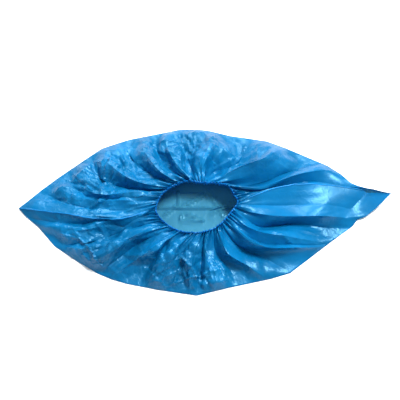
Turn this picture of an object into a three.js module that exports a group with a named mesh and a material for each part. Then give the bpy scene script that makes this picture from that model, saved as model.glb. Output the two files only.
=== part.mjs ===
// A disposable shoe cover of thin plastic film, opened out and laid on its sole with the mouth upwards.
// The film is one piece, folded along the middle of the sole and welded up at the toe and at the heel.
// An elastic in the hem gathers the mouth, and the slack film stands up round it in folds.
// Millimetres, +Z up, +X from the toe to the heel, origin under the middle on the floor.
import * as THREE from "three";

// Driving dimensions
const HALF_LENGTH = 200; // from the middle to the toe or heel tip
const WALL = 1.2; // upright thickness of the film wall
const EDGE_HEIGHT = 3.8; // the folded-over edge all round the sole
const EDGE_ROUND = 1.3; // how far that edge bulges past the sole
const EDGE_WALL = 3; // from the edge to the hollow inside it
const HEEL_LIFT = 13; // the heel tip curls up off the floor
const HEEL_LIFT_FROM = 150; // where along +X that curl starts

const MOUTH = { x: -8, y: -6.5, z: 25, halfLength: 42.7, halfWidth: 29, pinch: 0.6 };
const HEM_RADIUS = 1.2; // the rolled hem with the elastic inside it
const HEM_SIDES = 8;
const HEM_STEPS = 72;
const GAP = 0.35; // between touching pieces

const PUFF = 7; // how far the upper film stands above an even slope from the mouth to the edge
const GATHER_PLEATS = 36; // small pleats round the mouth
const GATHER_DEPTH = 1.1;
const GATHER_REACH = 0.3; // share of the way from the mouth to the edge where they have died out

const SEAM_WIDTH = 1.6;
const SEAM_HEIGHT = 1.2;
const SEAM_PUCKER = 2.4; // the weld stands this much higher where it reaches the hem

const COLUMNS_A_SIDE = 72; // round half of the cover, from toe to heel
const UPPER_ROWS = 11; // from the edge of the sole up to the mouth
const SOLE_MIDDLE = 0.76; // a ring of the sole this share of the way out, where the curl begins
const SEAM_ROWS = 14;

// The outline of the cover on the floor: at each x, how far it reaches on its far and near sides.
const OUTLINE = [
  { x: -200, far: 0, near: 0 },
  { x: -192, far: 7, near: -10 },
  { x: -177, far: 20, near: -22 },
  { x: -159, far: 36, near: -43 },
  { x: -133, far: 56, near: -60 },
  { x: -113, far: 71, near: -73 },
  { x: -82, far: 83, near: -84 },
  { x: -50, far: 89, near: -91 },
  { x: -28, far: 94, near: -94.5 },
  { x: -8, far: 94.5, near: -95.5 },
  { x: 6, far: 92.5, near: -93 },
  { x: 28, far: 86.5, near: -88.5 },
  { x: 69, far: 80, near: -78.5 },
  { x: 90, far: 71, near: -72 },
  { x: 112, far: 62, near: -55 },
  { x: 135, far: 51, near: -37 },
  { x: 149, far: 41, near: -27 },
  { x: 158, far: 29, near: -19 },
  { x: 166, far: 25, near: -10.5 },
  { x: 184, far: 20, near: 1.5 },
  { x: 200, far: 12.5, near: 12.5 },
];

// The main folds. Each runs from the mouth to the edge of the sole at x, and the film between two rows is straight.
// lift is how far it stands above the plain form (a ridge) or below it (a valley). The first and last are the seams.
const FAR_FOLDS = [
  { x: -200, lift: 5 },
  { x: -188, lift: -1 },
  { x: -175, lift: 3 },
  { x: -163, lift: -3 },
  { x: -150, lift: 5 },
  { x: -131, lift: -8 },
  { x: -115, lift: 8 },
  { x: -95, lift: -4 },
  { x: -75, lift: 7 },
  { x: -62, lift: -3 },
  { x: -50, lift: 4 },
  { x: -38, lift: -3 },
  { x: -22, lift: 4 },
  { x: -6, lift: -2 },
  { x: 8, lift: 5 },
  { x: 28, lift: -4 },
  { x: 45, lift: 3 },
  { x: 62, lift: -3 },
  { x: 87, lift: 8 },
  { x: 112, lift: -8 },
  { x: 135, lift: 6 },
  { x: 155, lift: -3 },
  { x: 172, lift: 2 },
  { x: 186, lift: -2 },
  { x: 200, lift: 5 },
];
const NEAR_FOLDS = [
  { x: -200, lift: 5 },
  { x: -172, lift: -7 },
  { x: -145, lift: 7 },
  { x: -122, lift: -6 },
  { x: -100, lift: 6 },
  { x: -80, lift: -5 },
  { x: -62, lift: 5 },
  { x: -48, lift: -4 },
  { x: -35, lift: 4 },
  { x: -22, lift: -3 },
  { x: -8, lift: 4 },
  { x: 12, lift: -4 },
  { x: 30, lift: 4 },
  { x: 48, lift: -5 },
  { x: 68, lift: 8 },
  { x: 92, lift: -8 },
  { x: 120, lift: 7 },
  { x: 145, lift: -8 },
  { x: 168, lift: 5 },
  { x: 185, lift: -3 },
  { x: 200, lift: 5 },
];

// The value of one column of a table at x, on straight lines between its rows.
function readTable(rows, column, x) {
  const after = Math.max(1, rows.findIndex((row) => row.x >= x));
  const [a, b] = [rows[after - 1], rows[after]];
  return THREE.MathUtils.mapLinear(x, a.x, b.x, a[column], b[column]);
}

// A place round the cover: column 0 is the toe seam, then the far side, the heel seam and the near side.
function placeOf(column) {
  const far = column <= COLUMNS_A_SIDE;
  const share = far ? column / COLUMNS_A_SIDE : 2 - column / COLUMNS_A_SIDE;
  const x = THREE.MathUtils.lerp(-HALF_LENGTH, HALF_LENGTH, share);
  const angle = far ? Math.PI * (1 - share) : Math.PI * (1 + share);
  return { x, angle, far, pleat: (Math.PI * GATHER_PLEATS * column) / COLUMNS_A_SIDE };
}

// The middle of the hem: an ellipse, drawn in on the near side towards the heel.
function mouthPoint(angle) {
  const [c, s] = [Math.cos(angle), Math.sin(angle)];
  const drawnIn = s < 0 ? 1 - MOUTH.pinch * Math.max(0, c) ** 2 : 1;
  return new THREE.Vector2(
    MOUTH.x + MOUTH.halfLength * c,
    MOUTH.y + MOUTH.halfWidth * s * drawnIn,
  );
}

function outlinePoint(place) {
  return new THREE.Vector2(place.x, readTable(OUTLINE, place.far ? "far" : "near", place.x));
}

// How far the floor side of the cover is lifted at x, by the curl of the heel tip.
function curlAt(x) {
  const share = Math.max(0, (x - HEEL_LIFT_FROM) / (HALF_LENGTH - HEEL_LIFT_FROM));
  return HEEL_LIFT * share ** 2;
}

// A point of the outer surface of the upper film. away is 0 at the mouth and 1 at the edge of the sole.
function upperPoint(place, away, inset = 0) {
  const edge = outlinePoint(place);
  const mouth = mouthPoint(place.angle);
  const run = edge.clone().sub(mouth);
  const outward = run.clone().normalize();
  mouth.addScaledVector(outward, HEM_RADIUS + GAP + 0.1);
  edge.addScaledVector(outward, -inset);
  const plan = mouth.lerp(edge, away);

  const form = THREE.MathUtils.lerp(MOUTH.z, EDGE_HEIGHT, away ** 2) + PUFF * Math.sin(Math.PI * away);
  const folds = readTable(place.far ? FAR_FOLDS : NEAR_FOLDS, "lift", place.x);
  const spread = Math.sin(Math.PI * away) ** 0.8;
  const gather = GATHER_DEPTH * Math.cos(place.pleat) * Math.max(0, 1 - away / GATHER_REACH);
  return new THREE.Vector3(plan.x, plan.y, form + folds * spread + gather + curlAt(plan.x));
}

// A point of the sole. share is 0 under the middle of the mouth and 1 at the outline, less the inset.
function solePoint(place, share, inset, height) {
  const middle = new THREE.Vector2(MOUTH.x, MOUTH.y);
  const edge = outlinePoint(place);
  edge.addScaledVector(middle.clone().sub(edge).normalize(), inset);
  const plan = middle.lerp(edge, share);
  return new THREE.Vector3(plan.x, plan.y, height + curlAt(plan.x));
}

// A closed surface through rings of points. The first and last rings are closed by a fan to a point each.
function closedRings(rings, firstMiddle, lastMiddle) {
  const count = rings[0].length;
  const points = [firstMiddle, ...rings.flat(), lastMiddle];
  const last = points.length - 1;
  const at = (ring, i) => 1 + ring * count + (i % count);
  const faces = [];
  for (let i = 0; i < count; i++) {
    faces.push(0, at(0, i), at(0, i + 1));
    faces.push(last, at(rings.length - 1, i + 1), at(rings.length - 1, i));
    for (let ring = 0; ring + 1 < rings.length; ring++) {
      const [a, b, c, d] = [at(ring, i), at(ring, i + 1), at(ring + 1, i + 1), at(ring + 1, i)];
      faces.push(a, c, b, a, d, c);
    }
  }
  return new THREE.BufferGeometry().setFromPoints(points).setIndex(faces);
}

// A closed ring: sections of points, each joined to the next and the last to the first.
function closedTube(sections) {
  const [count, sides] = [sections.length, sections[0].length];
  const at = (section, side) => (section % count) * sides + (side % sides);
  const faces = [];
  for (let i = 0; i < count; i++) {
    for (let j = 0; j < sides; j++) {
      const [a, b, c, d] = [at(i, j), at(i + 1, j), at(i + 1, j + 1), at(i, j + 1)];
      faces.push(a, b, c, a, c, d);
    }
  }
  return new THREE.BufferGeometry().setFromPoints(sections.flat()).setIndex(faces);
}

// The film: sole, edge and upper as one open pouch, from the floor side round the mouth to the inside.
function filmGeometry() {
  const places = Array.from({ length: 2 * COLUMNS_A_SIDE }, (_, column) => placeOf(column));
  const shares = Array.from({ length: UPPER_ROWS + 1 }, (_, row) => 1 - row / UPPER_ROWS);
  const ring = (point) => places.map(point);
  const down = new THREE.Vector3(0, 0, -WALL);
  const rings = [
    ring((place) => solePoint(place, SOLE_MIDDLE, 0, 0)),
    ring((place) => solePoint(place, 1, EDGE_ROUND, 0)),
    ring((place) => solePoint(place, 1, 0, EDGE_HEIGHT / 2)),
    ...shares.map((away) => ring((place) => upperPoint(place, away, EDGE_ROUND))),
    ...shares.toReversed().map((away) => ring((place) => upperPoint(place, away, EDGE_WALL).add(down))),
    ring((place) => solePoint(place, 1, EDGE_WALL, WALL)),
    ring((place) => solePoint(place, SOLE_MIDDLE, 0, WALL)),
  ];
  const under = new THREE.Vector3(MOUTH.x, MOUTH.y, 0);
  const inside = new THREE.Vector3(MOUTH.x, MOUTH.y, WALL);
  return closedRings(rings, under, inside);
}

// The rolled hem with its elastic: a round ring that follows the mouth.
function hemGeometry() {
  const sections = Array.from({ length: HEM_STEPS }, (_, step) => {
    const angle = (2 * Math.PI * step) / HEM_STEPS;
    const middle = mouthPoint(angle);
    const ahead = mouthPoint(angle + 0.01).sub(middle).normalize();
    const outward = new THREE.Vector2(ahead.y, -ahead.x);
    return Array.from({ length: HEM_SIDES }, (_, side) => {
      const turn = (2 * Math.PI * side) / HEM_SIDES;
      const plan = middle.clone().addScaledVector(outward, HEM_RADIUS * Math.cos(turn));
      return new THREE.Vector3(plan.x, plan.y, MOUTH.z + HEM_RADIUS * Math.sin(turn));
    });
  });
  return closedTube(sections);
}

// One weld: a narrow fin along the ridge from the mouth to the tip, higher where it meets the hem.
function seamGeometry(column) {
  const place = placeOf(column);
  const [first, last] = [0.03, 0.96];
  const sections = Array.from({ length: SEAM_ROWS + 1 }, (_, row) => {
    const away = THREE.MathUtils.lerp(first, last, row / SEAM_ROWS);
    const foot = upperPoint(place, away, EDGE_ROUND).add(new THREE.Vector3(0, 0, GAP));
    const height = SEAM_HEIGHT + SEAM_PUCKER * Math.max(0, 1 - away / 0.15);
    return [-1, 1].flatMap((side) => {
      const corner = foot.clone().add(new THREE.Vector3(0, (side * SEAM_WIDTH) / 2, 0));
      const top = corner.clone().add(new THREE.Vector3(0, 0, height));
      return side < 0 ? [corner, top] : [top, corner];
    });
  });
  const ends = [sections[0], sections[SEAM_ROWS]].map((corners) =>
    corners.reduce((sum, corner) => sum.addScaledVector(corner, 0.25), new THREE.Vector3()),
  );
  const towardsHeel = sections[SEAM_ROWS][0].x > sections[0][0].x;
  return towardsHeel
    ? closedRings(sections, ends[0], ends[1])
    : closedRings(sections.map((corners) => corners.toReversed()), ends[0], ends[1]);
}

const film = new THREE.MeshStandardMaterial({ color: 0x1579c4, roughness: 0.32, metalness: 0 });
const hem = new THREE.MeshStandardMaterial({ color: 0x1f8fd8, roughness: 0.38, metalness: 0 });
const weld = new THREE.MeshStandardMaterial({ color: 0x2a9be0, roughness: 0.35, metalness: 0 });

function named(name, geometry, material) {
  geometry.computeVertexNormals();
  const mesh = new THREE.Mesh(geometry, material);
  mesh.name = name;
  return mesh;
}

const shoeCover = new THREE.Group();
shoeCover.add(
  named("film_body", filmGeometry(), film),
  named("elastic_hem", hemGeometry(), hem),
  named("toe_seam", seamGeometry(0), weld),
  named("heel_seam", seamGeometry(COLUMNS_A_SIDE), weld),
);

export default shoeCover;
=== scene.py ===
import math

import bpy
import numpy as np
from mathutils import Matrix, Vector


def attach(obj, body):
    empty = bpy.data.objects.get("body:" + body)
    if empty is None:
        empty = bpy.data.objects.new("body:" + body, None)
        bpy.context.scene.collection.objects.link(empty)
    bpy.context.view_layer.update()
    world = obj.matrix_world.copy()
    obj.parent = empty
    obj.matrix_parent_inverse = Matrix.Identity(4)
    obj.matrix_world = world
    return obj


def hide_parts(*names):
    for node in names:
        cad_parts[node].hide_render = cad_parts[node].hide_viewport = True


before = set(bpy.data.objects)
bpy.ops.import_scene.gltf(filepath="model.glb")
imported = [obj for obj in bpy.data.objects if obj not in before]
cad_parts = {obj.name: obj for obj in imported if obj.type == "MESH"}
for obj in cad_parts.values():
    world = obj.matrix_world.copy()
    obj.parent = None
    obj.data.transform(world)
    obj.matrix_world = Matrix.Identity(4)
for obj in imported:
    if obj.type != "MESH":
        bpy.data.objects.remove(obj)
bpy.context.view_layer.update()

bl_info = {
    "name": "Film Shoe Cover",
    "version": (1, 0, 0),
    "blender": (4, 5, 0),
    "location": "3D View > Sidebar > Shoe Cover",
    "description": "A disposable blue film shoe cover with a gathered elastic mouth, lying on the floor",
    "category": "Object",
}

MM = 0.001
HALF_LENGTH = 200.0
COLUMNS = 288  # steps along each side, from the toe tip to the heel tip
UPPER_ROWS = 56  # steps from the flat edge to the mouth
SOLE_ROWS = 24  # steps from the middle of the sole to the flat edge
HEM_HEIGHT = 25.0
LOWEST_UPPER = 0.9  # the upper film never sinks through the sole
MOUTH_CENTRE = (-9.0, -8.0)
HEEL_ENTRY = 8  # the entry of MOUTH at the heel end
LIFT_START = 150.0  # x where the heel tip starts to rise
LIFT_LENGTH = 50.0
HEEL_TIP = (12.5, 12.4)  # y and height of the sole's middle line at the heel tip
FINE_SOLE_ROWS = 16  # closer rows where the sole shows through the mouth
FINE_SOLE_SHARE = 0.40  # how far those go from the middle line to the flat edge
SOLE_HEIGHT = 0.2
SLACK = 1.02  # rest lengths over drawn lengths, so that the film has slightly too much area
STIFFNESS = 0.12  # share of its bend that a settling pass takes out
UPWARD_LEAN = 0.8  # what is added to the normal's upward part before details are raised along it
SHARP_CREASE = math.radians(14)
SHARP_HEM = math.radians(40)
CALM_SOLE = 0.15  # crumple amount of the sole
HEM_STEPS = 1440
HEM_TURNS = 12
HEM_SEED = 11
WELD_STEPS = 260
WELD_TURNS = 8
WELD_PUCKERS = 42
WELD_SEED = 5
CAMERA_TARGET = (-0.0047, 0.0100, 0)
CAMERA_LENS = 91.6
CAMERA_SENSOR = 36
FLOOR_HALF = 15
FLOOR_HEIGHT = -0.0002  # just under the film, so that the two never share a plane

# The flat outline, in mm: x, far edge y, near edge y, height of the far edge, height of the near edge.
OUTLINE = np.array([
    (-200, 0, 0, 1.5, 1.5), (-192, 7, -9, 1, 1), (-177, 21, -22, 0.6, 0.6), (-159, 36, -43, 0.5, 0.5),
    (-133, 56, -61, 0.5, 0.5), (-113, 71, -73, 0.5, 0.5), (-97, 77, -80, 0.5, 0.5),
    (-82, 82, -84.5, 0.5, 0.5), (-50, 89, -91, 0.5, 0.5), (-28, 94, -94.5, 0.5, 0.5),
    (-8, 94.5, -97.5, 0.5, 0.5), (6, 92.5, -94, 0.5, 0.5), (28, 86.5, -88.5, 0.5, 0.5),
    (69, 80, -79.5, 0.5, 0.5), (90, 71.5, -73, 0.5, 0.5), (112, 61, -56, 0.5, 0.5),
    (135, 50, -38, 1, 0.5), (149, 39, -27.5, 3, 0.6), (158, 27, -21, 8, 1), (164, 23, -13.5, 10, 2.5),
    (172, 20, -11, 11, 4), (184, 17, -2, 12, 7), (192, 14.5, 5, 12.5, 10), (200, 12.5, 12.5, 13, 13)])

# The gathered mouth, in mm, from the toe end round the far side to the heel end (entry 8) and back.
MOUTH = np.array([
    (-51, -9), (-46, 5), (-36, 14), (-20, 21), (-4, 19.5), (12, 19), (25, 15.5), (31, 6), (35, -3),
    (27, -15), (17, -27), (6, -34), (-11, -37), (-27, -34.5), (-40, -27), (-49, -17)])

# The folds, each a crest or a valley that runs from the flat edge to the mouth, in mm:
# x at the edge, a point near the edge, a point near the mouth, share of the half mouth where it ends.
FAR_FOLDS = np.array([
    (-200, -150, -11, 15, -92, -18, 23, 0), (-178, -138, -1, 10, -90, -8, 18, 0.04),
    (-168, -130, 5, 16, -84, 0, 25, 0.09), (-157, -125, 11, 9, -84, 4, 19, 0.12),
    (-150, -122, 15, 14, -84, 7, 24, 0.14), (-132, -109, 32, 4, -77, 18, 10, 0.20),
    (-121, -98, 41, 16, -73, 22, 26, 0.25), (-88, -73, 48, 7, -50, 31, 13, 0.33),
    (-75, -61, 54, 17, -45, 31, 27, 0.37), (-55, -48, 58, 8, -35, 39, 14, 0.43),
    (-44, -38, 60, 16, -28, 39, 24, 0.47), (-25, -20, 62, 8, -14, 40, 14, 0.52),
    (-4, 5, 66, 17, -2, 42, 25, 0.56), (40, 38, 53, 7, 12, 38, 10, 0.60),
    (88, 68, 51, 22, 36, 35, 29, 0.65), (125, 98, 43, 4, 50, 24, 9, 0.72),
    (145, 103, 32, 17, 60, 17, 27, 0.78), (155, 106, 25, 9, 64, 13, 16, 0.85),
    (200, 152, 18, 15, 88, 15, 23, 1)])
NEAR_FOLDS = np.array([
    (-200, -150, -11, 15, -92, -18, 23, 0), (-189, -148, -19, 7, -86, -21, 14, 0.04),
    (-175, -125, -26, 16, -80, -19, 24, 0.09), (-158, -125, -41, 5, -83, -29, 10, 0.15),
    (-132, -105, -56, 15, -76, -43, 26, 0.21), (-110, -88, -58, 7, -62, -41, 12, 0.27),
    (-97, -79, -68, 12, -52, -53, 24, 0.33), (-70, -58, -66, 6, -44, -50, 13, 0.39),
    (-57, -48, -72, 12, -34, -56, 23, 0.44), (-36, -29, -76, 6, -22, -57, 13, 0.50),
    (-17, -15, -76, 13, -11, -58, 23, 0.545), (-9, -5, -76, 5, -2, -60, 12, 0.575),
    (11, 5, -71, 15, 1, -54, 24, 0.61), (37, 25, -67, 5, 13, -53, 11, 0.66),
    (66, 47, -69, 12, 26, -57, 23, 0.70), (90, 64, -57, 4, 36, -44, 9, 0.75),
    (128, 98, -48, 13, 58, -48, 25, 0.80), (131, 92, -43, 9, 55, -41, 14, 0.83),
    (133, 90, -38, 16, 52, -32, 24, 0.86), (150, 107, -20, 4, 58, -21, 9, 0.91),
    (164, 120, -15, 18, 70, -17, 27, 0.95), (178, 133, -2, 12, 72, -4, 16, 0.98),
    (200, 152, 18, 15, 88, 15, 23, 1)])

# Where the film is crumpled most, in mm and share: x, y, reach along x, reach along y, amount.
CRUMPLED_PLACES = np.array([
    (-22, 62, 50, 36, 0.95), (-118, 30, 56, 40, 1.0), (-20, -76, 66, 32, 0.9), (-115, -46, 52, 30, 0.8),
    (75, 58, 55, 22, 0.35), (110, -35, 45, 16, 0.3)])

# The settling passes: grid step, count of passes, bend in mm past which a crease keeps its sharpness.
SETTLING = ((4, 160, 1.5), (2, 80, 0.6))

# The gathers: waves on each side, height, reach from the hem, and where they start, in mm.
GATHERS = ((58, 0.9, 7.0, 0), (36, 1.8, 13.0, 0), (18, 1.9, 27.0, 4.0), (9, 1.8, 48.0, 12.0))

# The facets, broad then small: count on each side, size, height, in mm.
BROAD_FACETS = (34, 26, 11.0)
SMALL_FACETS = (80, 14, 2.6)

# The straight creases: count on each side, half width, length, height, in mm.
CREASES = (140, 2.6, 26, 1.5)

# Packing creases across the sole, in mm: two ends, height, half width.
SOLE_CREASES = np.array([
    (-80, 0, 60, 0, 2.0, 2.2), (-33, 15.6, 3, 15.6, 2.2, 2.6), (-28, -2, -28, 22, 2.4, 2.2),
    (-27, 0, 1, 15.6, 2.2, 2.6), (-23, -5, -27, -15, 2.6, 2.4), (-27, -15, 1, -15, 2.2, 2.6),
    (-23, -5, 1, -15, 1.8, 2.6), (2, 24, 22, -12, 1.8, 3.0), (-45, -10, -28, 4, 2.0, 2.8),
    (5, -8, 30, 8, 1.8, 2.8)])


def srgb(code):
    """Linear colour of an sRGB hex code."""
    parts = np.array([int(code[i : i + 2], 16) / 255 for i in (1, 3, 5)])
    linear = np.where(parts <= 0.04045, parts / 12.92, ((parts + 0.055) / 1.055) ** 2.4)
    return tuple(float(x) for x in linear)


def unit(vectors):
    """Each vector over its own length."""
    return vectors / np.maximum(np.linalg.norm(vectors, axis=-1, keepdims=True), 1e-9)


def grid_normals(points):
    """Upward normal of a grid: the cross product of its two directions, turned to face up."""
    normal = unit(np.cross(np.gradient(points, axis=1), np.gradient(points, axis=0)))
    return normal * np.where(normal[..., 2:3] < 0, -1.0, 1.0)


def spline_weights(count, cells):
    """Matrix that reads knots at count even places: cubic Catmull-Rom weights of the four nearest."""
    place = np.linspace(0, cells, count)
    knot = np.minimum(place.astype(int), cells - 1)
    f = place - knot
    four = np.stack([-0.5 * f + f**2 - 0.5 * f**3, 1 - 2.5 * f**2 + 1.5 * f**3,
                     0.5 * f + 2 * f**2 - 1.5 * f**3, -0.5 * f**2 + 0.5 * f**3], 1)
    weights = np.zeros((count, cells + 3))
    for k in range(4):
        weights[np.arange(count), knot + k] = four[:, k]
    return weights


def smooth_noise(shape, cells, rng):
    """Smooth random field: a small grid of normal random numbers, read with cubic weights both ways."""
    knots = rng.standard_normal((cells[0] + 3, cells[1] + 3))
    return spline_weights(shape[0], cells[0]) @ knots @ spline_weights(shape[1], cells[1]).T


def triangle_wave(phase):
    """Wave of straight flanks from -1 to 1, one period for each whole number."""
    return 2 * np.abs(2 * (phase - np.floor(phase + 0.5))) - 1


def half_mouths(count=1600):
    """The far and near half of the mouth: a closed Catmull-Rom curve through MOUTH, cut at its ends."""
    size = len(MOUTH)
    place = np.linspace(0, size, count, endpoint=False)
    knot = place.astype(int)
    f = (place - knot)[:, None]
    a, b, c, d = (MOUTH[(knot + k) % size] for k in (-1, 0, 1, 2))
    bend, twist = 2 * a - 5 * b + 4 * c - d, 3 * b - a - 3 * c + d
    curve = 0.5 * (2 * b + (c - a) * f + bend * f**2 + twist * f**3)
    heel = count * HEEL_ENTRY // size
    return curve[: heel + 1], np.concatenate([curve[heel:], curve[:1]])[::-1]


def along(curve, shares):
    """Points on a curve at shares of its length."""
    length = np.append(0, np.cumsum(np.linalg.norm(np.diff(curve, axis=0), axis=1)))
    return np.stack([np.interp(shares, length / length[-1], axis) for axis in curve.T], -1)


def upper_side(folds, mouth, edge):
    """One side of the upper film, rows from the flat edge to the mouth, and each column's share of the mouth.

    Each column is a cubic Hermite curve through four points, and its points are blended straight across from
    one fold to the next, so that every fold keeps a sharp line down its own column. edge is the column of
    OUTLINE that holds this side's y.
    """
    steps = np.diff(folds[:, 0]) + 2 * HALF_LENGTH * np.diff(folds[:, 7])
    fold_columns = np.round(np.append(0, np.cumsum(steps)) / steps.sum() * COLUMNS).astype(int)
    points = np.zeros((len(folds), 4, 3))
    points[:, 0, 0] = folds[:, 0]
    points[:, 1], points[:, 2] = folds[:, 1:4], folds[:, 4:7]
    points[:, 3] = np.c_[along(mouth, folds[:, 7]), np.full(len(folds), HEM_HEIGHT)]
    points[:, 0, 1] = np.interp(folds[:, 0], OUTLINE[:, 0], OUTLINE[:, edge])
    columns = np.arange(COLUMNS + 1)
    fold = np.clip(np.searchsorted(fold_columns, columns, side="right") - 1, 0, len(folds) - 2)
    f = ((columns - fold_columns[fold]) / (fold_columns[fold + 1] - fold_columns[fold]))[:, None, None]
    line = points[fold] * (1 - f) + points[fold + 1] * f
    for axis in (1, 2):
        line[:, 0, axis] = np.interp(line[:, 0, 0], OUTLINE[:, 0], OUTLINE[:, edge + 2 * (axis - 1)])
    shares = np.interp(columns, fold_columns, folds[:, 7])
    line[:, 3, :2] = along(mouth, shares)
    lengths = np.linalg.norm(np.diff(line, axis=1), axis=2)
    place = np.c_[np.zeros(COLUMNS + 1), np.cumsum(lengths, axis=1)]
    place /= place[:, -1:]
    slope = np.diff(line, axis=1) / np.diff(place, axis=1)[..., None]
    inner = 0.5 * (slope[:, :-1] + slope[:, 1:])
    tangent = np.concatenate([1.5 * slope[:, :1] - 0.5 * inner[:, :1], inner,
                              1.5 * slope[:, -1:] - 0.5 * inner[:, -1:]], 1)
    rows = np.linspace(0, 1, UPPER_ROWS + 1)[:, None]
    part = (rows > place[:, 1]).astype(int) + (rows > place[:, 2])
    across = np.broadcast_to(columns, part.shape)
    span = place[across, part + 1] - place[across, part]
    f, span = ((rows - place[across, part]) / span)[..., None], span[..., None]
    points = ((2 * f**3 - 3 * f**2 + 1) * line[across, part]
              + (f**3 - 2 * f**2 + f) * span * tangent[across, part]
              + (3 * f**2 - 2 * f**3) * line[across, part + 1]
              + (f**3 - f**2) * span * tangent[across, part + 1])
    return points, shares


def hem_pleats(points, shares, rng):
    """Height of the gathers along the normal: triangle waves round the mouth, the coarse ones further out.

    Each wave fades with the square of the distance from the hem over its own reach, and slants on the way.
    """
    lengths = np.linalg.norm(np.diff(points, axis=0), axis=2).sum(0)
    from_hem = lengths * np.linspace(1, 0, len(points))[:, None]
    total = np.zeros(points.shape[:2])
    row = (1, len(shares))
    for waves, height, reach, start in GATHERS:
        phase = rng.uniform() + 0.10 * smooth_noise(row, (1, waves), rng)
        phase = phase + 0.25 * smooth_noise(row, (1, 5), rng)
        slant = 0.22 * smooth_noise(total.shape, (2, 7), rng) * from_hem / 30
        size = height * (1 + 0.35 * smooth_noise(row, (1, waves), rng))
        fade = np.exp(-((from_hem / reach) ** 2))
        if start:
            fade = fade * (1 - 0.85 * np.exp(-((from_hem / start) ** 2)))
        total += size * fade * triangle_wave(shares * waves + phase + slant)
    return total


def crumple_amount(points):
    """How crumpled each place is: a sum of bell shapes round CRUMPLED_PLACES over a small base."""
    x, y, wide, deep, amount = CRUMPLED_PLACES.T
    bells = np.exp(-(((points[..., :1] - x) / wide) ** 2) - ((points[..., 1:2] - y) / deep) ** 2)
    return np.clip(0.12 + bells @ amount, 0, 1.3)


def strewn(points, amount, count, rng):
    """Random places on a grid, in plan: by area, and more densely where the film is crumpled more."""
    plan = points[..., :2]
    down, wide = np.gradient(plan, axis=0), np.gradient(plan, axis=1)
    area = np.abs(down[..., 0] * wide[..., 1] - down[..., 1] * wide[..., 0])
    weight = (amount * area).reshape(-1)
    return plan.reshape(-1, 2)[rng.choice(len(weight), count, p=weight / weight.sum())]


def flat_facets(points, amount, count, size, height, rng):
    """Height of flat facets between straight creases: the lowest of many four-sided pyramids on strewn seeds.

    A pyramid is the larger of its two scaled offsets, and it is longer away from the mouth than across.
    """
    seeds = strewn(points, amount, count, rng)
    turn = np.arctan2(seeds[:, 1] - MOUTH_CENTRE[1], seeds[:, 0] - MOUTH_CENTRE[0])
    turn = turn + rng.normal(0, 0.5, count)
    long, short = size * rng.uniform(1.0, 2.4, count), size * rng.uniform(0.5, 1.1, count)
    lean = rng.uniform(-0.5, 0.5, (2, count))
    c, s = np.cos(turn), np.sin(turn)
    x, y = points[..., :1] - seeds[:, 0], points[..., 1:2] - seeds[:, 1]
    u, v = (x * c + y * s) / long, (y * c - x * s) / short
    lowest = np.maximum(np.abs(u) + lean[0] * u, np.abs(v) + lean[1] * v).min(-1)
    return (0.5 - np.minimum(lowest, 1.6)) * height * np.clip(amount, 0, 1.2)


def straight_creases(points, amount, count, width, length, height, rng):
    """Height of many strewn straight creases: each a narrow tent across its line that fades to its ends."""
    total = np.zeros(amount.shape)
    for centre in strewn(points, amount, count, rng):
        outward = math.atan2(centre[1] - MOUTH_CENTRE[1], centre[0] - MOUTH_CENTRE[0])
        turn = outward + rng.normal(0, 0.5) if rng.random() < 0.6 else rng.uniform(0, math.pi)
        offset = points[..., :2] - centre
        along_line = offset @ np.array([math.cos(turn), math.sin(turn)])
        across = offset @ np.array([-math.sin(turn), math.cos(turn)])
        half, lean = width * rng.uniform(0.6, 1.8), rng.uniform(-0.7, 0.7)
        tent = np.clip(1 - np.abs(across) / (half * np.where(across < 0, 1 + lean, 1 - lean)), 0, 1)
        ends = np.clip(1.8 * (1 - np.abs(along_line) / (length * rng.uniform(0.5, 1.7))), 0, 1)
        total += height * rng.uniform(0.4, 1.3) * rng.choice([1, 1, -1]) * tent * ends
    return total * np.clip(amount, 0, 1)


def neighbours(array, rows, columns, start=(0, 0), skip=(1, 1)):
    """Views of an array at both ends of every grid edge that goes rows down and columns across."""
    down, wide = array.shape[1:3]
    first, second = max(0, -columns), max(0, columns)
    ends = array[:, start[0] : down - rows : skip[0], first + start[1] : wide - second : skip[1]]
    others = array[:, rows + start[0] :: skip[0], second + start[1] : wide - first : skip[1]]
    return ends, others[:, : ends.shape[1]]


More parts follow.
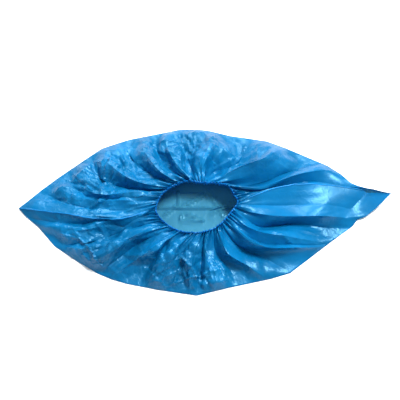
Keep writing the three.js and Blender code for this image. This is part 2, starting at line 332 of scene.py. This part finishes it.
def settle_film(film, rest, pinned, passes, stiffness, soft):
    """Thin film under its own rest lengths, solved edge by edge in batches that share no point.

    Each batch moves both ends of its edges by half of what they are too long or short. Each pass then
    flattens the film by a share of its second difference, and less where it already bends sharply, so that
    creases stay crisp.
    """
    free = np.ones((1,) + film.shape[1:3] + (1,))
    free[:, pinned] = 0
    batches = []
    for rows, columns in ((0, 1), (1, 0), (1, 1), (1, -1)):
        ends, others = neighbours(rest, rows, columns)
        length = np.linalg.norm(others - ends, axis=-1, keepdims=True)
        for odd in (0, 1):
            start, skip = ((0, odd), (1, 2)) if rows == 0 else ((odd, 0), (2, 1))
            a, b = neighbours(film, rows, columns, start, skip)
            wa, wb = neighbours(free, rows, columns, start, skip)
            total = np.maximum(wa + wb, 1e-9)
            batch_length = length[:, start[0] :: skip[0], start[1] :: skip[1]]
            batches.append((a, b, wa / total, wb / total, batch_length))
    for _ in range(passes):
        for a, b, share_a, share_b, length in batches:
            gap = b - a
            gap *= 1 - length / np.maximum(np.linalg.norm(gap, axis=-1, keepdims=True), 1e-6)
            a += gap * share_a
            b -= gap * share_b
        for axis in (1, 2):
            lines, loose = np.moveaxis(film, axis, 1), np.moveaxis(free, axis, 1)
            bend = lines[:, 2:] - 2 * lines[:, 1:-1] + lines[:, :-2]
            bend *= stiffness / (1 + (bend**2).sum(-1, keepdims=True) / soft**2)
            change = np.zeros_like(lines)
            change[:, 1:-1] += 0.5 * bend
            change[:, 2:] -= 0.25 * bend
            change[:, :-2] -= 0.25 * bend
            lines += change * loose
        np.maximum(film[..., 2], LOWEST_UPPER, out=film[..., 2])
        for end in (0, -1):
            film[:, :, end] = film[:, :, end].mean(0)
    return film


def finer(field):
    """A grid of twice the steps: old points kept, and cubic midpoints between them."""
    for axis in (1, 2):
        lines = np.moveaxis(field, axis, 1)
        middle = 0.5 * (lines[:, 1:] + lines[:, :-1])
        middle[:, 1:-1] = (9 * (lines[:, 1:-2] + lines[:, 2:-1]) - lines[:, :-3] - lines[:, 3:]) / 16
        both = np.zeros((len(lines), 2 * lines.shape[1] - 1) + lines.shape[2:])
        both[:, ::2], both[:, 1::2] = lines, middle
        field = np.moveaxis(both, 1, axis)
    return field


def upper_film(crumple, seed, quick):
    """Near side, far side and crumple amount of the upper film: broad form settled, then details added.

    The broad form settles on two coarse grids. Facets, creases and gathers are heights along a normal that
    leans upwards. Facets and creases fade towards the flat edge and the hem.
    """
    rng = np.random.default_rng(seed)
    far_mouth, near_mouth = half_mouths()
    sides = [upper_side(NEAR_FOLDS, near_mouth, 2), upper_side(FAR_FOLDS, far_mouth, 1)]
    smooth = np.stack([points for points, _ in sides])
    for end in (0, -1):
        smooth[:, :, end] = smooth[:, :, end].mean(0)
    normal = unit(np.stack([grid_normals(points) for points in smooth]) + [0, 0, UPWARD_LEAN])
    amount = crumple * np.stack([crumple_amount(points) for points in smooth])
    rows = np.linspace(0, 1, UPPER_ROWS + 1)[:, None]
    inside = np.clip(rows * 8, 0, 1) * np.clip((1 - rows) * 6, 0, 1)
    pleats, broad, small = [], [], []
    for points, side_amount, (_, shares) in zip(smooth, amount, sides):
        pleats.append(hem_pleats(points, shares, rng))
        broad.append(inside * flat_facets(points, side_amount, *BROAD_FACETS, rng))
        small.append(inside * (flat_facets(points, side_amount, *SMALL_FACETS, rng)
                               + straight_creases(points, side_amount, *CREASES, rng)))
    broad, small, pleats = (np.stack(part)[..., None] * normal for part in (broad, small, pleats))
    first = SETTLING[0][0]
    moved = None
    for step, passes, soft in SETTLING:
        base = smooth[:, ::step, ::step]
        film = base + (0.5 * broad[:, ::first, ::first] if moved is None else finer(moved))
        if not quick:
            film = settle_film(film, SLACK * base, [0, -1], passes, STIFFNESS, soft)
        moved = film - base
    film = smooth + finer(moved) + broad + small + pleats
    np.maximum(film[..., 2], LOWEST_UPPER, out=film[..., 2])
    film[:, 0] = smooth[:, 0]
    near, far = film
    near[..., 1] = np.maximum(near[..., 1], np.interp(near[..., 0], OUTLINE[:, 0], OUTLINE[:, 2]))
    far[..., 1] = np.minimum(far[..., 1], np.interp(far[..., 0], OUTLINE[:, 0], OUTLINE[:, 1]))
    return near, far, amount


def sole_side(edge_line):
    """One side of the sole, rows from the middle line to the flat edge, with packing creases as low tents.

    The middle line swings to the far side and rises towards the heel tip as powers of the way along it.
    """
    x, y, z = edge_line.T
    to_heel = np.clip((x - LIFT_START) / LIFT_LENGTH, 0, 1)
    centre_y, lift = HEEL_TIP[0] * to_heel**1.6, HEEL_TIP[1] * to_heel**2
    fine = np.linspace(0, FINE_SOLE_SHARE, FINE_SOLE_ROWS, endpoint=False)
    coarse = np.linspace(FINE_SOLE_SHARE, 1, SOLE_ROWS - FINE_SOLE_ROWS, endpoint=False)
    rows = np.append(fine, coarse)[:, None]
    to_edge = np.clip((rows - 0.6) / 0.4, 0, 1) ** 2 * (x > 145)
    height = SOLE_HEIGHT + lift + (z - lift - 0.3) * to_edge
    points = np.stack([np.broadcast_to(x, height.shape), centre_y + rows * (y - centre_y), height], -1)
    for x0, y0, x1, y1, height, half in SOLE_CREASES:
        line = np.array([x1 - x0, y1 - y0])
        length = np.linalg.norm(line)
        offset = points[..., :2] - (x0, y0)
        down, across = offset @ line / length, offset @ np.array([-line[1], line[0]]) / length
        ends = np.clip(down / 4, 0, 1) * np.clip((length - down) / 4, 0, 1)
        points[..., 2] += height * ends * np.clip(1 - np.abs(across) / half, 0, 1)
    return points


def add_mesh(name, points, faces, material, slot, *nodes):
    """A mesh object at the origin from points in mm and rows of corner indices, as one named piece."""
    mesh = bpy.data.meshes.new(name)
    mesh.from_pydata((points * MM).tolist(), [], faces)
    mesh.validate()
    mesh.update()
    mesh.materials.append(material)
    piece = bpy.data.objects.new(name, mesh)
    bpy.context.collection.objects.link(piece)
    mesh.shade_smooth()
    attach(piece, "root")
    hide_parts(*nodes)
    return piece


def quads_of(index):
    """The four corners of every cell of a grid of point numbers."""
    return np.stack([index[:-1, :-1], index[:-1, 1:], index[1:, 1:], index[1:, :-1]], -1).reshape(-1, 4)


def tube(centres, radii, tall, wide, turns, closed):
    """A tube as a grid: at each centre a ring round the path, of a radius r for the ring or for each point.

    A ring's point stands at centre + r * (tall * cos a * up + wide * sin a * side).
    """
    path = np.gradient(centres, axis=0)
    if closed:
        path = np.roll(centres, -1, 0) - np.roll(centres, 1, 0)
    side = unit(np.cross(unit(path), [0, 0, 1.0]))
    up = unit(np.cross(side, unit(path)))
    angle = np.linspace(0, 2 * math.pi, turns, endpoint=False)[None, :, None]
    spread = tall * np.cos(angle) * up[:, None] + wide * np.sin(angle) * side[:, None]
    rings = centres[:, None] + radii[..., None] * spread
    index = np.arange(len(centres) * turns).reshape(len(centres), turns)
    if closed:
        index = np.concatenate([index, index[:1]])
    wrap = np.concatenate([index, index[:, :1]], 1)
    faces = quads_of(wrap).tolist()
    if not closed:
        faces += [index[0].tolist()[::-1], index[-1].tolist()]
    return rings.reshape(-1, 3), faces


def add(tree, kind, settings=None, **links):
    """A shader node: settings by socket or property name, and links by socket name or as _ and its number."""
    node = tree.nodes.new(kind)
    for key, value in (settings or {}).items():
        if key in node.inputs:
            node.inputs[key].default_value = (*srgb(value), 1) if isinstance(value, str) else value
        else:
            setattr(node, key, value)
    for key, output in links.items():
        target = node.inputs[int(key[1:])] if key[1:].isdigit() else node.inputs[key.replace("_", " ")]
        tree.links.new(output, target)
    return node


def film_material(name, body, glow, tint, roughness, crinkle, see_through):
    """Blown polyethylene film, heat sealed and crumpled: a glossy satin skin over tinted, half clear plastic.

    Creases a few millimetres apart break up its shine and are painted paler: stress whitening and a painted
    highlight along them. Light passes through it as a brighter blue, and a paler, greener colour is painted
    where
    one layer lies straight on the floor: painted light from the white floor through that layer. Scales are
    cells to the metre.
    """
    material = bpy.data.materials.new(name)
    material.use_nodes = True
    tree = material.node_tree
    tree.nodes.clear()
    place = add(tree, "ShaderNodeTexCoord").outputs["Object"]
    crumpling = add(tree, "ShaderNodeAttribute", {"attribute_name": "crumple"}).outputs["Fac"]
    lone = add(tree, "ShaderNodeAttribute", {"attribute_name": "single_layer"}).outputs["Fac"]

    # The patterns are bent by up to 6 mm, so that their borders don't run straight for long.
    drift = add(tree, "ShaderNodeTexNoise", {"Scale": 110.0, "Detail": 3.0}, Vector=place)
    centred = add(tree, "ShaderNodeVectorMath", {"operation": "SUBTRACT"}, _0=drift.outputs["Color"])
    centred.inputs[1].default_value = (0.5, 0.5, 0.5)
    bent = add(tree, "ShaderNodeVectorMath", {"operation": "MULTIPLY_ADD"}, _0=centred.outputs[0], _2=place)
    bent.inputs[1].default_value = (0.012, 0.012, 0.012)
    bent_place = bent.outputs[0]

    # Flat facets of about 11 mm and 4 mm: cells by the longest axis are little pyramids with sharp ridges.
    facets = add(tree, "ShaderNodeTexVoronoi", {"distance": "CHEBYCHEV", "Scale": 90.0}, Vector=bent_place)
    chips = add(tree, "ShaderNodeTexVoronoi", {"distance": "CHEBYCHEV", "Scale": 240.0}, Vector=bent_place)
    # The real grain is far finer than 1 mm and is drawn at about 1 mm so that it shows.
    grain = add(tree, "ShaderNodeTexNoise", {"Scale": 900.0, "Detail": 2.0}, Vector=place)
    layered = add(tree, "ShaderNodeMath", {"operation": "MULTIPLY_ADD"},
                  _0=chips.outputs["Distance"], _2=facets.outputs["Distance"])
    layered.inputs[1].default_value = 0.45
    height = add(tree, "ShaderNodeMath", {"operation": "MULTIPLY_ADD"},
                 _0=grain.outputs["Fac"], _2=layered.outputs[0])
    height.inputs[1].default_value = 0.10
    amount = add(tree, "ShaderNodeMapRange",
                 {"From Max": 1.2, "To Min": 0.12 * crinkle, "To Max": crinkle}, Value=crumpling)

    # Long creases about 16 mm apart, 1 mm wide: the borders of a cell pattern, raised, and painted paler
    # where
    # crumpled: stress whitening and a painted highlight along each crease.
    borders = add(tree, "ShaderNodeTexVoronoi", {"feature": "DISTANCE_TO_EDGE", "Scale": 62.0},
                  Vector=bent_place)
    lines = add(tree, "ShaderNodeMapRange", {"From Max": 0.075, "To Min": 1.0, "To Max": 0.0},
                Value=borders.outputs["Distance"])
    ridged = add(tree, "ShaderNodeMath", {"operation": "MULTIPLY_ADD"},
                 _0=lines.outputs[0], _2=height.outputs[0])
    ridged.inputs[1].default_value = 0.32
    crease_whitening_and_glint = add(tree, "ShaderNodeMath", {"operation": "MULTIPLY"}, _0=lines.outputs[0], _1=crumpling)
    paler = add(tree, "ShaderNodeMapRange", {"To Max": 0.12}, Value=crease_whitening_and_glint.outputs[0])
    bump = add(tree, "ShaderNodeBump", {"Distance": 0.0022},
               Strength=amount.outputs[0], Height=ridged.outputs[0])

    # The film's thickness drifts over about 36 mm, which makes its blue deeper or lighter.
    patches = add(tree, "ShaderNodeTexNoise", {"Scale": 28.0, "Detail": 4.0}, Vector=place)
    shade = add(tree, "ShaderNodeMapRange",
                {"From Min": 0.3, "From Max": 0.7, "To Min": 0.72, "To Max": 1.12},
                Value=patches.outputs["Fac"])
    blue = add(tree, "ShaderNodeHueSaturation", {"Color": body}, Value=shade.outputs[0])
    # The crease lines are mixed towards a pale cyan: stress whitening and a painted highlight.
    creased = add(tree, "ShaderNodeMix", {"data_type": "RGBA"}, _0=paler.outputs[0], _6=blue.outputs[0])
    creased.inputs[7].default_value = (*srgb("#4FBCF0"), 1)
    # Where one layer lies on the floor, a paler, greener colour is painted: painted light from the white
    # floor through that layer.
    colour_with_floor_light = add(tree, "ShaderNodeMix", {"data_type": "RGBA"}, _0=lone, _6=creased.outputs[2])
    colour_with_floor_light.inputs[7].default_value = (*srgb("#4E9EA8"), 1)

    skin = add(tree, "ShaderNodeBsdfPrincipled",
               {"Roughness": roughness, "IOR": 1.51, "Specular Tint": "#9AE0FF", "Specular IOR Level": 0.7},
               Base_Color=colour_with_floor_light.outputs[2], Normal=bump.outputs[0])
    through = add(tree, "ShaderNodeBsdfTranslucent", {"Color": glow}, Normal=bump.outputs[0])
    clear = add(tree, "ShaderNodeBsdfTransparent", {"Color": tint})
    plastic = add(tree, "ShaderNodeMixShader", {"Fac": 0.34}, _1=skin.outputs[0], _2=through.outputs[0])
    seen = add(tree, "ShaderNodeMapRange", {"To Min": see_through, "To Max": see_through + 0.32}, Value=lone)
    mixed = add(tree, "ShaderNodeMixShader", _0=seen.outputs[0], _1=plastic.outputs[0], _2=clear.outputs[0])
    add(tree, "ShaderNodeOutputMaterial", Surface=mixed.outputs[0])
    return material


def set_attribute(mesh, name, values):
    """A number on each vertex, for the film's material to read."""
    attribute = mesh.attributes.new(name, "FLOAT", "POINT")
    attribute.data.foreach_set("value", np.asarray(values, np.float32).reshape(-1))


def hex_code(colour):
    """The sRGB hex code of a linear colour."""
    linear = np.array(colour)
    curved = np.where(linear <= 0.0031308, 12.92 * linear, 1.055 * linear ** (1 / 2.4) - 0.055)
    return "#%02X%02X%02X" % tuple(np.round(255 * curved).astype(int))


def joined_index(count, edge_rows):
    """Point numbers of the film's grid: at each end the sole is one point, and both sides share the rest."""
    index = np.arange(count * (COLUMNS + 1)).reshape(count, COLUMNS + 1)
    for end in (0, -1):
        index[edge_rows : count - edge_rows, end] = index[edge_rows, end]
        index[count - edge_rows :, end] = index[:edge_rows, end][::-1]
    return index


def pouch_faces(index):
    """Corners of the film's faces: every cell of its grid, as a triangle where two corners are one point."""
    quads = quads_of(index)
    apart = quads != np.roll(quads, -1, 1)
    corners = apart.sum(1)
    faces = quads[corners == 4].tolist()
    pinched = quads[corners == 3]
    return faces + pinched[apart[corners == 3]].reshape(-1, 3).tolist()


class ShoeCoverFilm(bpy.types.PropertyGroup):
    thickness: bpy.props.FloatProperty(
        name="Film thickness",
        description="Drawn thickness of the film, thicker than the real 0.04 mm so that it renders cleanly",
        default=0.00016, min=0.00005, max=0.001, unit="LENGTH")
    crumple: bpy.props.FloatProperty(
        name="Crumple", description="How strongly the film is creased",
        default=1.0, min=0, max=2, subtype="FACTOR")
    seed: bpy.props.IntProperty(
        name="Seed", description="Chooses one arrangement of the small creases", default=3)
    colour: bpy.props.FloatVectorProperty(
        name="Film colour", description="Colour of the film's body",
        subtype="COLOR", size=3, default=srgb("#0579B0"), min=0, max=1)


class ShoeCoverHem(bpy.types.PropertyGroup):
    radius: bpy.props.FloatProperty(
        name="Hem radius", description="Half the height of the rolled hem round the elastic",
        default=0.0009, min=0.0003, max=0.004, unit="LENGTH")
    gathers: bpy.props.IntProperty(
        name="Gathers", description="Small folds round the whole hem", default=72, min=8)


class ShoeCoverSeams(bpy.types.PropertyGroup):
    width: bpy.props.FloatProperty(
        name="Seam width", description="Width of the welded seam's ridge",
        default=0.0011, min=0.0003, max=0.004, unit="LENGTH")
    height: bpy.props.FloatProperty(
        name="Seam height", description="Height of the welded seam's ridge",
        default=0.0006, min=0.0002, max=0.004, unit="LENGTH")


class ShoeCoverStage(bpy.types.PropertyGroup):
    elevation: bpy.props.FloatProperty(
        name="Camera elevation", description="Angle of the camera above the floor",
        default=math.radians(68), subtype="ANGLE")
    distance: bpy.props.FloatProperty(
        name="Camera distance", description="From the camera to the middle of the cover",
        default=1.1, unit="LENGTH")
    key_power: bpy.props.FloatProperty(
        name="Key power", description="Power of the high softbox behind and to the right",
        default=84.0, min=0, unit="POWER")
    rim_power: bpy.props.FloatProperty(
        name="Rim power", description="Power of the low wide softbox behind the cover",
        default=46.0, min=0, unit="POWER")
    fill_power: bpy.props.FloatProperty(
        name="Fill power", description="Power of the softbox above the camera",
        default=7.0, min=0, unit="POWER")
    ambient: bpy.props.FloatProperty(
        name="Ambient", description="Brightness of the surrounding white room", default=0.46, min=0)


class SHOECOVER_OT_film(bpy.types.Operator):
    """Build the film: a closed sole and a crumpled upper gathered to the mouth"""

    bl_idname = "shoecover.film"
    bl_label = "Build Film"

    def execute(self, context):
        settings = context.scene.shoe_cover_film
        near, far, amount = upper_film(settings.crumple, settings.seed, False)
        sole_near, sole_far = sole_side(near[0]), sole_side(far[0])
        grid = np.concatenate([near[::-1], sole_near[:0:-1], sole_far, far])
        faces = pouch_faces(joined_index(len(grid), len(near) - 1))
        used = np.unique(np.concatenate(faces))
        renumber = np.zeros(used[-1] + 1, int)
        renumber[used] = np.arange(len(used))
        faces = [renumber[face].tolist() for face in faces]
        points = grid.reshape(-1, 3)[used]
        calm_sole = np.full((len(grid) - len(near) - len(far), COLUMNS + 1), CALM_SOLE)
        crumpling = np.concatenate([amount[0][::-1], calm_sole, amount[1]])
        # The sole rows: there the material paints the white floor's light through one layer as a paler
        # colour, and draws the film more see-through.
        lone = np.zeros(grid.shape[:2])
        lone[len(near) : -len(far)] = 1
        material = film_material("blue_polyethylene_film", body=hex_code(settings.colour), glow="#1A98DA",
                                 tint="#8AD6E8", roughness=0.32, crinkle=0.42, see_through=0.17)
        piece = add_mesh("film", points, faces, material, "film", "film_body")
        mesh = piece.data
        set_attribute(mesh, "crumple", crumpling.reshape(-1)[used])
        set_attribute(mesh, "single_layer", lone.reshape(-1)[used])
        mesh.set_sharp_from_angle(angle=SHARP_CREASE)
        mesh.flip_normals()  # in the grid's own order the faces look inwards
        wall = piece.modifiers.new("Wall", "SOLIDIFY")
        wall.thickness, wall.offset = settings.thickness, -1
        context.scene["mouth_line"] = np.concatenate([near[-1], far[-1][-2:0:-1]]).reshape(-1).tolist()
        context.scene["toe_line"] = near[:, 0].reshape(-1).tolist()
        context.scene["heel_line"] = near[:, -1].reshape(-1).tolist()
        return {"FINISHED"}


class SHOECOVER_OT_hem(bpy.types.Operator):
    """Build the rolled hem that holds the elastic round the mouth"""

    bl_idname = "shoecover.hem"
    bl_label = "Build Elastic Hem"

    def execute(self, context):
        settings = context.scene.shoe_cover_hem
        line = np.array(context.scene["mouth_line"]).reshape(-1, 3)
        closed = np.concatenate([line, line[:1]])
        shares = np.linspace(0, 1, HEM_STEPS, endpoint=False)
        centres = along(closed, shares)
        for _ in range(3):
            centres = 0.5 * centres + 0.25 * (np.roll(centres, 1, 0) + np.roll(centres, -1, 0))
        rng = np.random.default_rng(HEM_SEED)
        angle = np.linspace(0, 2 * math.pi, HEM_TURNS, endpoint=False)[None]
        wobble = 0.3 * smooth_noise((1, len(shares)), (1, 60), rng)[0]
        gather = triangle_wave(shares * settings.gathers + wobble)[:, None]
        uneven = 0.12 * np.cos(3 * angle + 9 * wobble[:, None])
        radii = settings.radius / MM * (1 + 0.15 * gather + uneven)
        points, faces = tube(centres, radii, tall=1.25, wide=0.85, turns=HEM_TURNS, closed=True)
        material = film_material("gathered_hem_film", body="#0C74C2", glow="#1A94E0", tint="#6FC0E2",
                                 roughness=0.30, crinkle=0.5, see_through=0.08)
        piece = add_mesh("elastic_hem_roll", points, faces, material, "hem", "elastic_hem")
        piece.data.set_sharp_from_angle(angle=SHARP_HEM)
        return {"FINISHED"}


class SHOECOVER_OT_seams(bpy.types.Operator):
    """Build the two welded seams, from the toe tip and the heel tip to the mouth"""

    bl_idname = "shoecover.seams"
    bl_label = "Build Welded Seams"

    def execute(self, context):
        settings = context.scene.shoe_cover_seams
        material = film_material("welded_film_seam", body="#1590D6", glow="#2AB0EC", tint="#8AD6E8",
                                 roughness=0.3, crinkle=0.3, see_through=0.25)
        rng = np.random.default_rng(WELD_SEED)
        first, last = 0.01, 0.985
        shares = np.linspace(first, last, WELD_STEPS)
        ends = np.clip(np.minimum(shares - first, last - shares) / 0.01, 0.15, 1)[:, None]
        pucker = np.clip((shares - 0.7) / 0.3, 0, 1) * triangle_wave(shares * WELD_PUCKERS)
        swell = settings.width / MM * 0.5 * ends * (1 + 0.25 * pucker[:, None])
        flatness = settings.height / settings.width
        for name, key, node in (("toe_weld", "toe_line", "toe_seam"),
                                ("heel_weld", "heel_line", "heel_seam")):
            line = np.array(context.scene[key]).reshape(-1, 3)
            centres = along(line, shares) + [0, 0, 0.25]
            centres[:, 1] += 0.5 * pucker + 0.15 * smooth_noise((1, WELD_STEPS), (1, 30), rng)[0]
            points, faces = tube(centres, swell, tall=flatness, wide=1.0, turns=WELD_TURNS, closed=False)
            add_mesh(name, points, faces, material, "weld", node)
        return {"FINISHED"}


class SHOECOVER_OT_stage(bpy.types.Operator):
    """Build the pale floor, the soft lights and the camera"""

    bl_idname = "shoecover.stage"
    bl_label = "Build Stage"

    def execute(self, context):
        settings = context.scene.shoe_cover_stage
        mesh = bpy.data.meshes.new("floor")
        half = FLOOR_HALF
        plan = ((-half, -half), (half, -half), (half, half), (-half, half))
        corners = [(x, y, FLOOR_HEIGHT) for x, y in plan]
        mesh.from_pydata(corners, [], [(0, 1, 2, 3)])
        floor = bpy.data.objects.new("floor", mesh)
        context.collection.objects.link(floor)
        paper = bpy.data.materials.new("matt_white_paper")
        paper.use_nodes = True
        paper.node_tree.nodes.clear()
        matt = add(paper.node_tree, "ShaderNodeBsdfDiffuse", {"Color": "#F6F7F8"})
        add(paper.node_tree, "ShaderNodeOutputMaterial", Surface=matt.outputs[0])
        mesh.materials.append(paper)
        camera = bpy.data.objects.new("camera", bpy.data.cameras.new("camera"))
        context.collection.objects.link(camera)
        camera.data.lens, camera.data.sensor_width = CAMERA_LENS, CAMERA_SENSOR
        tilt = settings.elevation
        away = Vector((0, -math.cos(tilt), math.sin(tilt)))
        camera.location = Vector(CAMERA_TARGET) + away * settings.distance
        camera.rotation_euler = (math.pi / 2 - tilt, 0, 0)
        context.scene.camera = camera
        for name, place, size, power in (("key", (0.80, 0.62, 1.9), (0.7, 0.5), settings.key_power),
                                         ("rim", (-0.1, 1.7, 1.15), (1.4, 0.5), settings.rim_power),
                                         ("fill", (-0.4, -0.5, 2.2), (1.0, 0.8), settings.fill_power)):
            light = bpy.data.lights.new(name, "AREA")
            light.shape, light.energy = "RECTANGLE", power
            light.size, light.size_y = size
            lamp = bpy.data.objects.new(name, light)
            context.collection.objects.link(lamp)
            lamp.location = place
            lamp.rotation_euler = (-Vector(place)).to_track_quat("-Z", "Y").to_euler()
        world = context.scene.world or bpy.data.worlds.new("room")
        context.scene.world = world
        world.use_nodes = True
        room = world.node_tree.nodes["Background"]
        room.inputs[0].default_value, room.inputs[1].default_value = (*srgb("#E6F4FA"), 1), settings.ambient
        context.scene.view_settings.view_transform = "Standard"
        return {"FINISHED"}


class SHOECOVER_PT_panel(bpy.types.Panel):
    bl_label = "Shoe Cover"
    bl_space_type = "VIEW_3D"
    bl_region_type = "UI"
    bl_category = "Shoe Cover"

    def draw(self, context):
        for group in GROUPS:
            box = self.layout.box()
            settings = getattr(context.scene, group)
            for name in settings.__annotations__:
                box.prop(settings, name)
            box.operator(group.replace("shoe_cover_", "shoecover."))


GROUPS = {"shoe_cover_film": ShoeCoverFilm, "shoe_cover_hem": ShoeCoverHem,
          "shoe_cover_seams": ShoeCoverSeams, "shoe_cover_stage": ShoeCoverStage}
OPERATORS = (SHOECOVER_OT_film, SHOECOVER_OT_hem, SHOECOVER_OT_seams, SHOECOVER_OT_stage)
CLASSES = (*GROUPS.values(), *OPERATORS, SHOECOVER_PT_panel)


def register():
    for cls in CLASSES:
        bpy.utils.register_class(cls)
    for name, group in GROUPS.items():
        setattr(bpy.types.Scene, name, bpy.props.PointerProperty(type=group))


def unregister():
    for name in GROUPS:
        delattr(bpy.types.Scene, name)
    for cls in reversed(CLASSES):
        bpy.utils.unregister_class(cls)


def main():
    register()
    bpy.ops.shoecover.film()
    bpy.ops.shoecover.hem()
    bpy.ops.shoecover.seams()
    bpy.ops.shoecover.stage()


if __name__ == "__main__":
    main()
